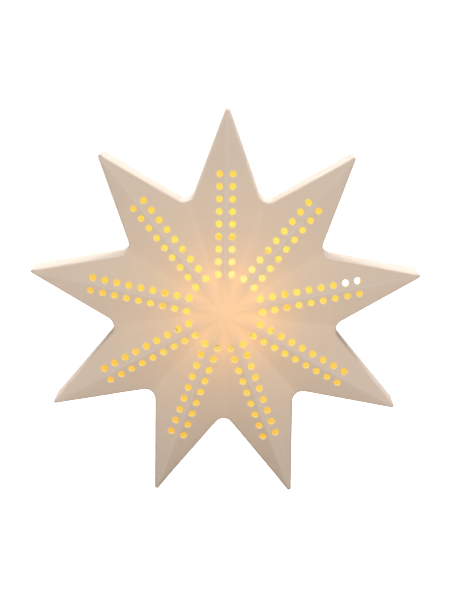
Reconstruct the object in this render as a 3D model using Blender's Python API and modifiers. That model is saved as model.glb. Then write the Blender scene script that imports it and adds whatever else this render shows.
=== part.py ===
"""Nine-pointed ceramic star that holds a tealight.

The star stands on its two lower tips with its front towards -Y. It is a hollow shell with a faceted
front, pierced by two rows of round holes along each ray, and closed behind by a flat wall with a
round opening. A sheet-metal carrier pushes into that opening from behind and holds the tealight in a
dish at the middle of the star. Metres, +Z up, origin under the middle of the whole object.

Star pieces are drawn in the star's own frame: x to the right, y up, z towards the front, with z = 0
at the star's widest outline.
"""

import math

import bmesh
import bpy
from mathutils import Matrix, Vector

# ---- Driving dimensions, in metres ----
GAP = 0.0003

RAYS = 9
TIP_RADIUS = 0.1524
NOTCH_RADIUS = 0.0813
TIP_ROUND = 0.0015
NOTCH_ROUND = 0.008
WALL = 0.004
RIM_DEPTH = 0.042
RELIEF_HEIGHT = 0.0275
EDGE_ROUND = 0.0035

HOLE_RADIUS = 0.00255
HOLES_IN_ROW = 9
FIRST_HOLE = 0.0278
HOLE_PITCH = 0.00925
ROW_OFFSET = 0.0049

OPENING_RADIUS = 0.046
HANG_HOLE_RADIUS = 0.008
HANG_HOLE_AT = 0.0972
HANG_HOLE_RAY = 7

SHEET = 0.0008
FLANGE_WIDTH = 0.003
PAN_DEPTH = 0.011
SPRING_SPACE = 0.0025
FINGER_HOLE_RADIUS = 0.010

SPRINGS = 3
SPRING_THICK = 0.0004
SPRING_WIDTH = 0.006
SPRING_FLAT = 0.0044
SPRING_RIVET_RADIUS = 0.001

SHELF_SHEET = 0.0015
SHELF_WIDTH = 0.024
SHELF_PAST_SCREW = 0.0115
SHELF_DROP = 0.0245
LEG_FROM_EDGE = 0.0018
BEND_RADIUS = 0.002
SHELF_RIVET_RADIUS = 0.0014
SHELF_RIVET_SPREAD = 0.014

CUP_RADIUS = 0.019
CUP_HEIGHT = 0.016
CUP_WALL = 0.0006
WAX_HEIGHT = 0.012
WICK_RADIUS = 0.0008
WICK_ABOVE_WAX = 0.006

DISH_SHEET = 0.001
DISH_LIP = 0.007
DISH_CLEARANCE = 0.0008
DISH_FROM_DISC = 0.002
BEAD_HEIGHT = 0.0017
BEAD_RADIUS = 0.0125
BEAD_WIDTH = 0.003

SCREW_RADIUS = 0.0015
SCREW_HEAD_RADIUS = 0.0028
SCREW_HEAD_HEIGHT = 0.001
NUT_ACROSS_CORNERS = 0.0062
NUT_HEIGHT = 0.0024

# ---- What follows from them ----
HALF_STEP = math.pi / RAYS
TIP_HALF_ANGLE = math.atan2(
    NOTCH_RADIUS * math.sin(HALF_STEP), TIP_RADIUS - NOTCH_RADIUS * math.cos(HALF_STEP)
)
NOTCH_HALF_ANGLE = TIP_HALF_ANGLE + HALF_STEP
EDGE_DISTANCE = TIP_RADIUS * math.sin(TIP_HALF_ANGLE)
FACET_SLOPE = RELIEF_HEIGHT / EDGE_DISTANCE
EDGE_TURN = math.pi / 2 - math.atan(FACET_SLOPE)
EDGE_INSET = EDGE_ROUND * (1 - math.cos(EDGE_TURN))
FACET_START = EDGE_ROUND * math.sin(EDGE_TURN)
APEX = FACET_START + FACET_SLOPE * (EDGE_DISTANCE - EDGE_INSET)
BACK = -RIM_DEPTH

FLANGE_BACK = BACK - GAP - SHEET
LOWER_TIP_ANGLE = math.pi / 2 - HALF_STEP
TIP_ARC_CENTRE = TIP_RADIUS - TIP_ROUND / math.sin(TIP_HALF_ANGLE)
CENTRE_HEIGHT = TIP_ARC_CENTRE * math.sin(LOWER_TIP_ANGLE) + TIP_ROUND
CENTRE_Y = (APEX + FLANGE_BACK) / 2

SKIRT_RADIUS = OPENING_RADIUS - SPRING_SPACE
DISC_FRONT = BACK - GAP + PAN_DEPTH
DISC_BACK = DISC_FRONT - SHEET
LEG_BACK = DISC_FRONT + GAP
LEG_FOOT = LEG_FROM_EDGE - math.sqrt(SKIRT_RADIUS**2 - (SHELF_WIDTH / 2) ** 2)
DISH_INNER_RADIUS = CUP_RADIUS + DISH_CLEARANCE
DISH_Z = DISC_FRONT + DISH_FROM_DISC + DISH_INNER_RADIUS + DISH_SHEET
DISH_FLOOR = GAP + DISH_SHEET
SEAT_HEIGHT = DISH_FLOOR + BEAD_HEIGHT

STEPS_LARGE = 48
STEPS_SMALL = 32
STEPS_FINE = 16
HOLE_SIDES = 8
TIP_ARC_POINTS = 4
NOTCH_ARC_POINTS = 4
EDGE_STEPS = 2
MERGE = 1e-6
CUT_MARGIN = 0.005


# ---- Scene ----
def clear_scene():
    for obj in list(bpy.data.objects):
        bpy.data.objects.remove(obj, do_unlink=True)


def new_collection(name):
    collection = bpy.data.collections.new(name)
    bpy.context.scene.collection.children.link(collection)
    return collection


clear_scene()
STAR_PARTS = new_collection("tealight_star")
CUTTERS = new_collection("cutters")


def material(name, colour, roughness, metallic=0.0):
    made = bpy.data.materials.new(name)
    made.use_nodes = True
    shader = made.node_tree.nodes["Principled BSDF"]
    shader.inputs["Base Color"].default_value = (*colour, 1.0)
    shader.inputs["Roughness"].default_value = roughness
    shader.inputs["Metallic"].default_value = metallic
    return made


def empty(name, parent=None, location=(0, 0, 0), rotation=(0, 0, 0)):
    obj = bpy.data.objects.new(name, None)
    obj.location = location
    obj.rotation_euler = rotation
    obj.parent = parent
    STAR_PARTS.objects.link(obj)
    return obj


def mesh_object(name, mesh, parent, finish, collection=None):
    obj = bpy.data.objects.new(name, mesh)
    obj.parent = parent
    if finish:
        mesh.materials.append(finish)
    (collection or STAR_PARTS).objects.link(obj)
    return obj


def from_bmesh(name, bm, parent, finish, collection=None):
    bmesh.ops.recalc_face_normals(bm, faces=bm.faces)
    mesh = bpy.data.meshes.new(name)
    bm.to_mesh(mesh)
    bm.free()
    return mesh_object(name, mesh, parent, finish, collection)


def as_cutter(obj):
    obj.hide_render = True
    obj.display_type = "WIRE"
    return obj


def cut(obj, cutter):
    modifier = obj.modifiers.new(cutter.name, "BOOLEAN")
    modifier.operation = "DIFFERENCE"
    modifier.solver = "EXACT"
    modifier.object = cutter


def shade_round(obj):
    obj.data.shade_smooth()
    obj.data.set_sharp_from_angle(angle=math.radians(40))


def add_cylinder(bm, radius, low, high, matrix=None, sides=STEPS_FINE):
    """A closed cylinder along z from low to high, moved by matrix."""
    middle = Matrix.Translation((0, 0, (low + high) / 2))
    bmesh.ops.create_cone(
        bm,
        cap_ends=True,
        segments=sides,
        radius1=radius,
        radius2=radius,
        depth=high - low,
        matrix=(matrix or Matrix.Identity(4)) @ middle,
    )


def turned(name, profile, steps, parent, finish, location=(0, 0, 0), rotation=(0, 0, 0)):
    """A closed profile of (radius, height) points, turned about z by a Screw modifier."""
    bm = bmesh.new()
    verts = [bm.verts.new((radius, 0, height)) for radius, height in profile]
    for first, second in zip(verts, verts[1:] + verts[:1]):
        bm.edges.new((first, second))
    mesh = bpy.data.meshes.new(name)
    bm.to_mesh(mesh)
    bm.free()
    obj = mesh_object(name, mesh, parent, finish)
    obj.location = location
    obj.rotation_euler = rotation
    screw = obj.modifiers.new("turn", "SCREW")
    screw.steps = steps
    screw.render_steps = steps
    screw.use_merge_vertices = True
    screw.merge_threshold = MERGE
    return obj


def solid_turned(name, profile, steps, parent, finish, location=(0, 0, 0), rotation=(0, 0, 0)):
    """A solid turned about z, from the outer side of its profile, top to bottom."""
    bm = bmesh.new()
    points = [(0, profile[0][1])] + list(profile) + [(0, profile[-1][1])]
    verts = [bm.verts.new((radius, 0, height)) for radius, height in points]
    for first, second in zip(verts, verts[1:]):
        bm.edges.new((first, second))
    bmesh.ops.spin(
        bm,
        geom=bm.verts[:] + bm.edges[:],
        cent=(0, 0, 0),
        axis=(0, 0, 1),
        angle=2 * math.pi,
        steps=steps,
        use_merge=True,
    )
    bmesh.ops.remove_doubles(bm, verts=bm.verts, dist=MERGE)
    obj = from_bmesh(name, bm, parent, finish)
    obj.location = location
    obj.rotation_euler = rotation
    return obj


# ---- Materials ----
CERAMIC_FRONT = material("white_bisque_front", (0.80, 0.76, 0.70), 0.55)
CERAMIC_BACK = material("white_bisque_back", (0.80, 0.77, 0.72), 0.6)
COVER_PAINT = material("cover_white_enamel", (0.82, 0.81, 0.78), 0.4)
SHELF_ZINC = material("shelf_zinc_plate", (0.62, 0.63, 0.65), 0.4, 0.9)
DISH_TIN = material("dish_tinplate", (0.70, 0.70, 0.70), 0.3, 0.9)
SPRING_STEEL = material("spring_steel", (0.45, 0.46, 0.50), 0.35, 1.0)
RIVET_METAL = material("rivet_aluminium", (0.75, 0.76, 0.78), 0.35, 1.0)
SCREW_METAL = material("screw_zinc", (0.66, 0.66, 0.64), 0.3, 1.0)
CUP_METAL = material("cup_aluminium", (0.86, 0.87, 0.88), 0.25, 1.0)
WAX = material("candle_wax", (0.93, 0.90, 0.82), 0.45)
TIN = material("sustainer_tin", (0.68, 0.68, 0.68), 0.35, 1.0)
WICK = material("burnt_wick", (0.10, 0.08, 0.07), 0.9)


# ---- Star outline ----
def arc(centre, radius, middle, half_span, points):
    """Points along an arc about centre, from middle - half_span to middle + half_span."""
    made = []
    for i in range(points):
        angle = middle - half_span + 2 * half_span * i / (points - 1)
        made.append(centre + Vector((math.cos(angle), math.sin(angle))) * radius)
    return made


def ray_angle(ray):
    return math.pi / 2 + 2 * HALF_STEP * ray


def star_outline():
    """The star's widest outline, anticlockwise from its top tip, tips and notches rounded."""
    outline = []
    notch_arc_centre = NOTCH_RADIUS + NOTCH_ROUND / math.sin(NOTCH_HALF_ANGLE)
    for ray in range(RAYS):
        tip = ray_angle(ray)
        notch = tip + HALF_STEP
        tip_centre = Vector((math.cos(tip), math.sin(tip))) * TIP_ARC_CENTRE
        outline += arc(tip_centre, TIP_ROUND, tip, math.pi / 2 - TIP_HALF_ANGLE, TIP_ARC_POINTS)
        notch_centre = Vector((math.cos(notch), math.sin(notch))) * notch_arc_centre
        turn = math.pi / 2 - NOTCH_HALF_ANGLE
        hollow = arc(notch_centre, NOTCH_ROUND, notch + math.pi, turn, NOTCH_ARC_POINTS)
        outline += reversed(hollow)
    return outline


def star_solid(name, levels, apex, parent, finish, collection=None):
    """Star-shaped body through levels of (inset, z) from back to front, then up to an apex if given.

    Every edge of the star is equally far from its middle, so an inset is a plain scaling.
    """
    bm = bmesh.new()
    inset, z = levels[0]
    scale = 1 - inset / EDGE_DISTANCE
    verts = [bm.verts.new((*(point * scale), z)) for point in star_outline()]
    back = bm.faces.new(verts)
    face = back
    for next_inset, next_z in levels[1:]:
        next_scale = 1 - next_inset / EDGE_DISTANCE
        made = bmesh.ops.extrude_face_region(bm, geom=[face])
        if face is not back:
            bmesh.ops.delete(bm, geom=[face], context="FACES_ONLY")
        face = next(item for item in made["geom"] if isinstance(item, bmesh.types.BMFace))
        grow = next_scale / scale
        bmesh.ops.scale(bm, vec=(grow, grow, 1), verts=face.verts)
        bmesh.ops.translate(bm, vec=(0, 0, next_z - z), verts=face.verts)
        scale = next_scale
        z = next_z
    if apex is not None:
        top = bmesh.ops.poke(bm, faces=[face])["verts"][0]
        top.co = (0, 0, apex)
    return from_bmesh(name, bm, parent, finish, collection)


# ---- Ceramic star ----
def hole_centres():
    """Where each hole stands in the star's frame, ray by ray, with one row on each side of the ridge."""
    for ray in range(RAYS):
        along = Vector((math.cos(ray_angle(ray)), math.sin(ray_angle(ray)), 0))
        across = Vector((-along.y, along.x, 0))
        for side in (-1, 1):
            for i in range(HOLES_IN_ROW):
                yield along * (FIRST_HOLE + HOLE_PITCH * i) + across * (side * ROW_OFFSET)


def make_front_shell(star):
    rear = BACK + WALL + GAP
    levels = [(0, rear), (0, 0)]
    for step in range(1, EDGE_STEPS + 1):
        turn = EDGE_TURN * step / EDGE_STEPS
        levels.append((EDGE_ROUND * (1 - math.cos(turn)), EDGE_ROUND * math.sin(turn)))
    shell = star_solid("front_shell", levels, APEX, star, CERAMIC_FRONT)

    wall_along_z = WALL * math.sqrt(1 + FACET_SLOPE**2)
    hollow_apex = APEX - wall_along_z
    hollow_edge = hollow_apex - FACET_SLOPE * (EDGE_DISTANCE - WALL)
    hollow_levels = [(WALL, rear - CUT_MARGIN), (WALL, hollow_edge)]
    hollow = star_solid("star_hollow", hollow_levels, hollow_apex, star, None, CUTTERS)
    cut(shell, as_cutter(hollow))

    bm = bmesh.new()
    for centre in hole_centres():
        add_cylinder(
            bm,
            HOLE_RADIUS,
            hollow_edge - CUT_MARGIN,
            APEX + CUT_MARGIN,
            Matrix.Translation(centre),
            HOLE_SIDES,
        )
    cut(shell, as_cutter(from_bmesh("pierced_holes", bm, star, None, CUTTERS)))
    return shell


def make_back_wall(star):
    levels = [(EDGE_ROUND, BACK)]
    for step in range(1, EDGE_STEPS + 1):
        turn = math.pi / 2 * step / EDGE_STEPS
        levels.append((EDGE_ROUND * (1 - math.sin(turn)), BACK + EDGE_ROUND * (1 - math.cos(turn))))
    levels.append((0, BACK + WALL))
    wall = star_solid("back_wall", levels, None, star, CERAMIC_BACK)

    hang_angle = ray_angle(HANG_HOLE_RAY)
    hang_at = Vector((math.cos(hang_angle), math.sin(hang_angle), 0)) * HANG_HOLE_AT
    bm = bmesh.new()
    low = BACK - CUT_MARGIN
    high = BACK + WALL + CUT_MARGIN
    add_cylinder(bm, OPENING_RADIUS, low, high, sides=STEPS_LARGE)
    add_cylinder(bm, HANG_HOLE_RADIUS, low, high, Matrix.Translation(hang_at), STEPS_SMALL)
    cut(wall, as_cutter(from_bmesh("back_openings", bm, star, None, CUTTERS)))
    return wall


# ---- Carrier: cover with its springs ----
def spring_angle(index):
    """The springs stand evenly round the skirt, the first straight up."""
    return math.pi / 2 + 2 * math.pi * index / SPRINGS


def radial_frame(index, z):
    """A frame on the carrier's axis with its x pointing out to a spring, at height z."""
    return Matrix.Translation((0, 0, z)) @ Matrix.Rotation(spring_angle(index), 4, "Z")


SPRING_FRONT = DISC_BACK
SPRING_RIVET_Z = SPRING_FRONT - SPRING_FLAT / 2
SPRING_RADIUS = SKIRT_RADIUS + GAP + SPRING_THICK / 2
SPRING_CREST = OPENING_RADIUS - 2 * GAP - SPRING_THICK / 2
RIVET_HOLE = SPRING_RIVET_RADIUS + GAP


def radial_cutter(name, radius, low, high, parent):
    """One cutter for a round hole behind each spring, from low to high along the radius."""
    bm = bmesh.new()
    for index in range(SPRINGS):
        frame = radial_frame(index, SPRING_RIVET_Z) @ Matrix.Rotation(math.pi / 2, 4, "Y")
        add_cylinder(bm, radius, low, high, frame)
    return as_cutter(from_bmesh(name, bm, parent, None, CUTTERS))


def shelf_rivet_places():
    height = (LEG_FOOT - SHELF_DROP - SHELF_SHEET) / 2
    return [(side * SHELF_RIVET_SPREAD / 2, height) for side in (-1, 1)]


def make_cover(carrier):
    """A pressed pan with a flange behind the star's back wall and a finger hole in its disc."""
    profile = [
        (FINGER_HOLE_RADIUS, DISC_FRONT),
        (SKIRT_RADIUS, DISC_FRONT),
        (SKIRT_RADIUS, BACK - GAP),
        (OPENING_RADIUS + FLANGE_WIDTH, BACK - GAP),
        (OPENING_RADIUS + FLANGE_WIDTH, FLANGE_BACK),
        (SKIRT_RADIUS - SHEET, FLANGE_BACK),
        (SKIRT_RADIUS - SHEET, DISC_BACK),
        (FINGER_HOLE_RADIUS, DISC_BACK),
    ]
    cover = turned("cover_plate", profile, STEPS_LARGE, carrier, COVER_PAINT)
    low = SKIRT_RADIUS - SHEET - CUT_MARGIN
    cut(cover, radial_cutter("skirt_rivet_holes", RIVET_HOLE, low, SPRING_RADIUS, carrier))

    bm = bmesh.new()
    for x, y in shelf_rivet_places():
        place = Matrix.Translation((x, y, 0))
        hole = SHELF_RIVET_RADIUS + GAP
        add_cylinder(bm, hole, DISC_BACK - CUT_MARGIN, DISC_FRONT + CUT_MARGIN, place)
    cut(cover, as_cutter(from_bmesh("disc_rivet_holes", bm, carrier, None, CUTTERS)))
    return cover


def strip(name, points, width, thickness, parent, finish):
    """A sheet bent along (x, z) points in its x-z plane, width across y, thickened both ways."""
    bm = bmesh.new()
    verts = [bm.verts.new((x, -width / 2, z)) for x, z in points]
    edges = [bm.edges.new(pair) for pair in zip(verts, verts[1:])]
    made = bmesh.ops.extrude_edge_only(bm, edges=edges)["geom"]
    moved = [item for item in made if isinstance(item, bmesh.types.BMVert)]
    bmesh.ops.translate(bm, vec=(0, width, 0), verts=moved)
    obj = from_bmesh(name, bm, parent, finish)
    solidify = obj.modifiers.new("sheet", "SOLIDIFY")
    solidify.thickness = thickness
    solidify.offset = 0
    solidify.use_even_offset = True
    return obj


def make_springs(carrier):
    """Bowed leaves round the skirt that press on the edge of the star's opening."""
    crest_z = BACK + WALL / 2
    flat_end = SPRING_FRONT - SPRING_FLAT
    points = [
        (SPRING_RADIUS, SPRING_FRONT),
        (SPRING_RADIUS, flat_end),
        ((SPRING_RADIUS + SPRING_CREST) / 2, (flat_end + crest_z) / 2 - GAP),
        (SPRING_CREST, crest_z + GAP),
        (SPRING_CREST, crest_z - GAP),
        ((SPRING_RADIUS + SPRING_CREST) / 2, (crest_z + BACK) / 2),
    ]
    holes = radial_cutter(
        "leaf_rivet_holes", RIVET_HOLE, SKIRT_RADIUS, OPENING_RADIUS, carrier
    )
    shank_low = SKIRT_RADIUS - SHEET - GAP
    shank_high = SPRING_RADIUS + SPRING_THICK / 2 + GAP
    head = SPRING_RIVET_RADIUS * 0.6
    wide = SPRING_RIVET_RADIUS * 1.6
    rivet_profile = [
        (wide * 0.7, shank_high + head),
        (wide, shank_high),
        (SPRING_RIVET_RADIUS, shank_high),
        (SPRING_RIVET_RADIUS, shank_low),
        (wide, shank_low),
        (wide * 0.7, shank_low - head),
    ]
    for index in range(SPRINGS):
        leaf = strip(
            f"grip_spring_{index + 1}", points, SPRING_WIDTH, SPRING_THICK, carrier, SPRING_STEEL
        )
        leaf.rotation_euler = (0, 0, spring_angle(index))
        cut(leaf, holes)
        frame = radial_frame(index, SPRING_RIVET_Z) @ Matrix.Rotation(math.pi / 2, 4, "Y")
        rivet = solid_turned(
            f"spring_rivet_{index + 1}",
            rivet_profile,
            STEPS_FINE,
            carrier,
            RIVET_METAL,
            frame.to_translation(),
            frame.to_euler(),
        )
        shade_round(rivet)


# ---- Carrier: shelf and dish ----
def make_shelf(carrier):
    """A bracket whose leg is riveted to the disc and whose plate reaches forward under the dish."""
    plate = -SHELF_DROP - SHELF_SHEET / 2
    leg = LEG_BACK + SHELF_SHEET / 2
    bend_y = plate - BEND_RADIUS
    bend_z = leg + BEND_RADIUS
    points = [(LEG_FOOT, leg)]
    for step in range(4):
        turn = math.pi / 2 * step / 3
        points.append((bend_y + BEND_RADIUS * math.sin(turn), bend_z - BEND_RADIUS * math.cos(turn)))
    points.append((plate, DISH_Z + SHELF_PAST_SCREW))
    shelf = strip("tealight_shelf", points, SHELF_WIDTH, SHELF_SHEET, carrier, SHELF_ZINC)
    # The strip is bent in its x-z plane, so a quarter turn sets its x along the star's y.
    shelf.rotation_euler = (0, 0, math.pi / 2)

    bm = bmesh.new()
    for x, y in shelf_rivet_places():
        place = Matrix.Translation((x, y, 0))
        hole = SHELF_RIVET_RADIUS + GAP
        add_cylinder(bm, hole, LEG_BACK - CUT_MARGIN, LEG_BACK + SHELF_SHEET + CUT_MARGIN, place)
    upright = Matrix.Translation((0, 0, DISH_Z)) @ Matrix.Rotation(-math.pi / 2, 4, "X")
    low = -SHELF_DROP - SHELF_SHEET - CUT_MARGIN / 2
    high = -SHELF_DROP + CUT_MARGIN / 2
    add_cylinder(bm, SCREW_RADIUS + GAP, low, high, upright)
    cut(shelf, as_cutter(from_bmesh("shelf_holes", bm, carrier, None, CUTTERS)))
    return shelf


def make_shelf_rivets(carrier):
    front = LEG_BACK + SHELF_SHEET + GAP
    back = DISC_BACK - GAP
    head = SHELF_RIVET_RADIUS * 0.6
    wide = SHELF_RIVET_RADIUS * 1.7
    profile = [
        (wide * 0.7, front + head),
        (wide, front),
        (SHELF_RIVET_RADIUS, front),
        (SHELF_RIVET_RADIUS, back),
        (wide, back),
        (wide * 0.7, back - head),
    ]
    for number, (x, y) in enumerate(shelf_rivet_places(), start=1):
        rivet = solid_turned(
            f"shelf_rivet_{number}", profile, STEPS_FINE, carrier, RIVET_METAL, (x, y, 0)
        )
        shade_round(rivet)


def make_dish(seat):
    """A pressed dish with a lip round the tealight and a raised ring under it."""
    inner = DISH_INNER_RADIUS
    outer = inner + DISH_SHEET
    hole = SCREW_RADIUS + GAP
    bead_in = BEAD_RADIUS - BEAD_WIDTH / 2
    bead_out = BEAD_RADIUS + BEAD_WIDTH / 2
    profile = [
        (hole, DISH_FLOOR),
        (bead_in - BEAD_HEIGHT, DISH_FLOOR),
        (bead_in, SEAT_HEIGHT),
        (bead_out, SEAT_HEIGHT),
        (bead_out + BEAD_HEIGHT, DISH_FLOOR),
        (inner, DISH_FLOOR),
        (inner, DISH_FLOOR + DISH_LIP),
        (outer, DISH_FLOOR + DISH_LIP),
        (outer, GAP),
        (bead_out + BEAD_HEIGHT + DISH_SHEET / 2, GAP),
        (bead_out + DISH_SHEET / 2, GAP + BEAD_HEIGHT),
        (bead_in - DISH_SHEET / 2, GAP + BEAD_HEIGHT),
        (bead_in - BEAD_HEIGHT - DISH_SHEET / 2, GAP),
        (hole, GAP),
    ]
    return turned("tealight_dish", profile, STEPS_SMALL, seat, DISH_TIN)


def make_dish_screw(seat):
    head_low = DISH_FLOOR + GAP
    head_high = head_low + SCREW_HEAD_HEIGHT
    end = -SHELF_SHEET - GAP - NUT_HEIGHT - SCREW_RADIUS / 2
    profile = [
        (SCREW_HEAD_RADIUS * 0.8, head_high),
        (SCREW_HEAD_RADIUS, (head_low + head_high) / 2),
        (SCREW_HEAD_RADIUS, head_low),
        (SCREW_RADIUS, head_low),
        (SCREW_RADIUS, end),
    ]
    screw = solid_turned("dish_screw", profile, STEPS_FINE, seat, SCREW_METAL)
    bm = bmesh.new()
    bmesh.ops.create_cube(bm, size=1)
    slot = (SCREW_HEAD_RADIUS * 3, SCREW_HEAD_RADIUS / 4, SCREW_HEAD_HEIGHT)
    bmesh.ops.scale(bm, vec=slot, verts=bm.verts)
    bmesh.ops.translate(bm, vec=(0, 0, head_high), verts=bm.verts)
    cut(screw, as_cutter(from_bmesh("screw_slot", bm, seat, None, CUTTERS)))
    return screw


def make_dish_nut(seat):
    high = -SHELF_SHEET - GAP
    bm = bmesh.new()
    add_cylinder(bm, NUT_ACROSS_CORNERS / 2, high - NUT_HEIGHT, high, sides=6)
    nut = from_bmesh("dish_nut", bm, seat, SCREW_METAL)
    bm = bmesh.new()
    bore = SCREW_RADIUS + GAP
    add_cylinder(bm, bore, high - NUT_HEIGHT - CUT_MARGIN, high + CUT_MARGIN)
    cut(nut, as_cutter(from_bmesh("nut_bore", bm, seat, None, CUTTERS)))
    return nut


# ---- Tealight ----
WAX_RADIUS = CUP_RADIUS - CUP_WALL - GAP
WAX_BASE = CUP_WALL + GAP
WAX_TOP = WAX_BASE + WAX_HEIGHT
SUSTAINER_RADIUS = 0.006
SUSTAINER_THICK = 0.0006
NECK_HEIGHT = 0.003
NECK_WALL = 0.0006
WICK_BORE = WICK_RADIUS + GAP
NECK_RADIUS = WICK_BORE + NECK_WALL
SUSTAINER_TOP = WAX_BASE + SUSTAINER_THICK
NECK_TOP = SUSTAINER_TOP + NECK_HEIGHT


def make_tealight(tealight):
    cup_profile = [
        (CUP_RADIUS - CUP_WALL, CUP_WALL),
        (CUP_RADIUS - CUP_WALL, CUP_HEIGHT),
        (CUP_RADIUS, CUP_HEIGHT),
        (CUP_RADIUS, 0),
    ]
    bm = bmesh.new()
    points = [(0, CUP_WALL)] + cup_profile + [(0, 0)]
    verts = [bm.verts.new((radius, 0, height)) for radius, height in points]
    for first, second in zip(verts, verts[1:]):
        bm.edges.new((first, second))
    geom = bm.verts[:] + bm.edges[:]
    turn = {"cent": (0, 0, 0), "axis": (0, 0, 1), "angle": 2 * math.pi, "use_merge": True}
    bmesh.ops.spin(bm, geom=geom, steps=STEPS_SMALL, **turn)
    bmesh.ops.remove_doubles(bm, verts=bm.verts, dist=MERGE)
    from_bmesh("tealight_cup", bm, tealight, CUP_METAL)

    wax_profile = [
        (WICK_BORE, WAX_TOP),
        (WAX_RADIUS, WAX_TOP),
        (WAX_RADIUS, WAX_BASE),
        (SUSTAINER_RADIUS + GAP, WAX_BASE),
        (SUSTAINER_RADIUS + GAP, SUSTAINER_TOP + GAP),
        (NECK_RADIUS + GAP, SUSTAINER_TOP + GAP),
        (NECK_RADIUS + GAP, NECK_TOP + GAP),
        (WICK_BORE, NECK_TOP + GAP),
    ]
    turned("tealight_wax", wax_profile, STEPS_SMALL, tealight, WAX)

    sustainer_profile = [
        (WICK_BORE, NECK_TOP),
        (NECK_RADIUS, NECK_TOP),
        (NECK_RADIUS, SUSTAINER_TOP),
        (SUSTAINER_RADIUS, SUSTAINER_TOP),
        (SUSTAINER_RADIUS, WAX_BASE),
        (WICK_BORE, WAX_BASE),
    ]
    turned("wick_sustainer", sustainer_profile, STEPS_FINE, tealight, TIN)
    make_wick(tealight)


def make_wick(tealight):
    """A cord that stands in the sustainer and bends over a little above the wax."""
    curve = bpy.data.curves.new("wick", "CURVE")
    curve.dimensions = "3D"
    curve.bevel_depth = WICK_RADIUS
    curve.bevel_resolution = 2
    curve.use_fill_caps = True
    line = curve.splines.new("POLY")
    bend_from = WAX_TOP + WICK_ABOVE_WAX / 3
    points = [(0, WAX_BASE), (0, WAX_TOP)]
    for step in range(4):
        turn = math.radians(35) * step / 3
        reach = WICK_ABOVE_WAX * (1 - math.cos(turn))
        points.append((reach, bend_from + WICK_ABOVE_WAX * math.sin(turn)))
    line.points.add(len(points) - 1)
    for point, (x, z) in zip(line.points, points):
        point.co = (x, 0, z, 1)
    obj = bpy.data.objects.new("wick", curve)
    curve.materials.append(WICK)
    obj.parent = tealight
    STAR_PARTS.objects.link(obj)


def main():
    quarter = math.pi / 2
    star = empty("star_frame", location=(0, CENTRE_Y, CENTRE_HEIGHT), rotation=(quarter, 0, 0))
    make_front_shell(star)
    make_back_wall(star)

    # The carrier's empty lies on its slide axis, through the middle of the star.
    carrier = empty("carrier_frame", star)
    make_cover(carrier)
    make_springs(carrier)
    make_shelf(carrier)
    make_shelf_rivets(carrier)

    # The seat's z points up, with z = 0 on top of the shelf.
    seat = empty("seat_frame", carrier, (0, -SHELF_DROP, DISH_Z), (-quarter, 0, 0))
    make_dish(seat)
    make_dish_screw(seat)
    make_dish_nut(seat)

    tealight = empty("tealight_frame", seat, (0, 0, SEAT_HEIGHT + GAP))
    make_tealight(tealight)


main()
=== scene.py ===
"""Nine-pointed ceramic star with a burning tealight inside: its fine shapes, finishes, light and camera.

The star and the cover behind it are drawn in the star's frame, x to the right, y up and z towards the
front, with z = 0 at the star's widest outline, and are then set upright. Metres, +Z up.
"""

import math

import bmesh
import bpy
from mathutils import Matrix, Vector


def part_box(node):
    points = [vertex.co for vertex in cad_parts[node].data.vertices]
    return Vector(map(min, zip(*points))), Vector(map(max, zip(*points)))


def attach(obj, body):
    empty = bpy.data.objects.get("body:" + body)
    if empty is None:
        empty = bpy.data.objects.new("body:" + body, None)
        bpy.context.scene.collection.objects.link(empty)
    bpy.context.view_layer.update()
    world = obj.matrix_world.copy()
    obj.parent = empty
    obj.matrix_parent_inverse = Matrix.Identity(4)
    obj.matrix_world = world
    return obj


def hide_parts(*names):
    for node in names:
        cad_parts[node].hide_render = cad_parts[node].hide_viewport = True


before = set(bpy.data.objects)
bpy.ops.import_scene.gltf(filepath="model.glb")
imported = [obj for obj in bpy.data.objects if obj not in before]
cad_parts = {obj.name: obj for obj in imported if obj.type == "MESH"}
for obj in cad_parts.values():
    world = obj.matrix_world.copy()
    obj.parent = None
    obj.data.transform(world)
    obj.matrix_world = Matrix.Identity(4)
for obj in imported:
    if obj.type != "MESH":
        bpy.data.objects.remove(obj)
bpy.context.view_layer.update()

# ---- Sizes of the star ----
RAYS = 9
HALF_STEP = math.pi / RAYS
TIP_ROUND = 0.0015
NOTCH_RADIUS = 0.0813
NOTCH_ROUND = 0.008
WALL = 0.004
EDGE_ROUND = 0.0035
RELIEF_HEIGHT = 0.0275
RIDGE_SOFT = 0.0017
VALLEY_SOFT = 0.0019
APEX_SOFT = 0.008

HOLE_RADIUS = 0.00255
HOLES_IN_ROW = 9
FIRST_HOLE = 0.0278
HOLE_PITCH = 0.00925
ROW_OFFSET = 0.0049
HOLE_LIP = 0.00045

OPENING_RADIUS = 0.046
HANG_HOLE_RADIUS = 0.008
HANG_HOLE_AT = 0.0972
HANG_HOLE_RAY = 7
BACK_LIP = 0.0009

# ---- Sizes of the metal parts ----
SHEET = 0.0008
SPRING_SPACE = 0.0025
FINGER_HOLE_RADIUS = 0.010
PRESS_BEND = 0.0014
SHELF_SHEET = 0.0015
SHELF_BEND = 0.003
SHELF_CORNER = 0.004
DISH_SHEET = 0.001
DISH_BEND = 0.0011
BEAD_RADIUS = 0.0125
BEAD_WIDTH = 0.003
BEAD_HEIGHT = 0.0017
CUP_FOIL = 0.0003
CUP_BEND = 0.0016
POOL_DEPTH = 0.0009
WICK_RADIUS = 0.0008
WICK_LEAN = 0.0016
WICK_STEPS = 40
FLAME_HEIGHT = 0.017
FLAME_RADIUS = 0.0034
FLAME_SHIFT = 0.0012
FLAME_SINK = 0.0025
SHEET_EDGE = 0.0002

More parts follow.
